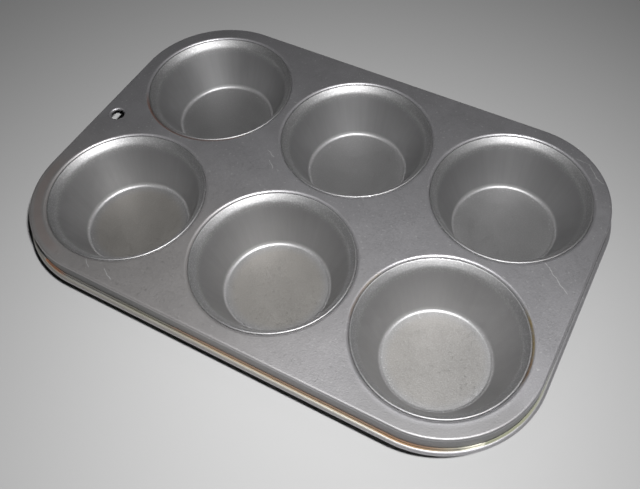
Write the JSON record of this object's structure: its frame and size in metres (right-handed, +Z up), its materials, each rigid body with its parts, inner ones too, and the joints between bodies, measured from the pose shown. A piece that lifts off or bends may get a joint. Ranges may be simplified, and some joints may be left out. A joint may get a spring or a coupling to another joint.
{
  "type": "muffin pan",
  "caption": "Pressed steel muffin pan: round flared cups seamed into a flat deck, with a deep skirt, a rolled wired rim and a small hang hole at one end.",
  "frame": {"origin": "on the table, below the middle of the pan, with the pan standing on its cup floors", "axes": "+X along the pan's length, away from the end with the hang hole; +Y across it, towards the back row of cups; +Z up"},
  "size_m": [0.242, 0.166, 0.0237],
  "materials": {
    "frame_coating": "matte grey coated steel",
    "cup_coating": "matte grey coated steel",
    "wire_steel": "bare drawn wire"
  },
  "bodies": {
    "root": {"frame_sheet": "frame_coating", "cup_front_left": "cup_coating", "cup_front_middle": "cup_coating", "cup_front_right": "cup_coating", "cup_back_left": "cup_coating", "cup_back_middle": "cup_coating", "cup_back_right": "cup_coating", "rim_wire": "wire_steel"}
  },
  "joints": []
}
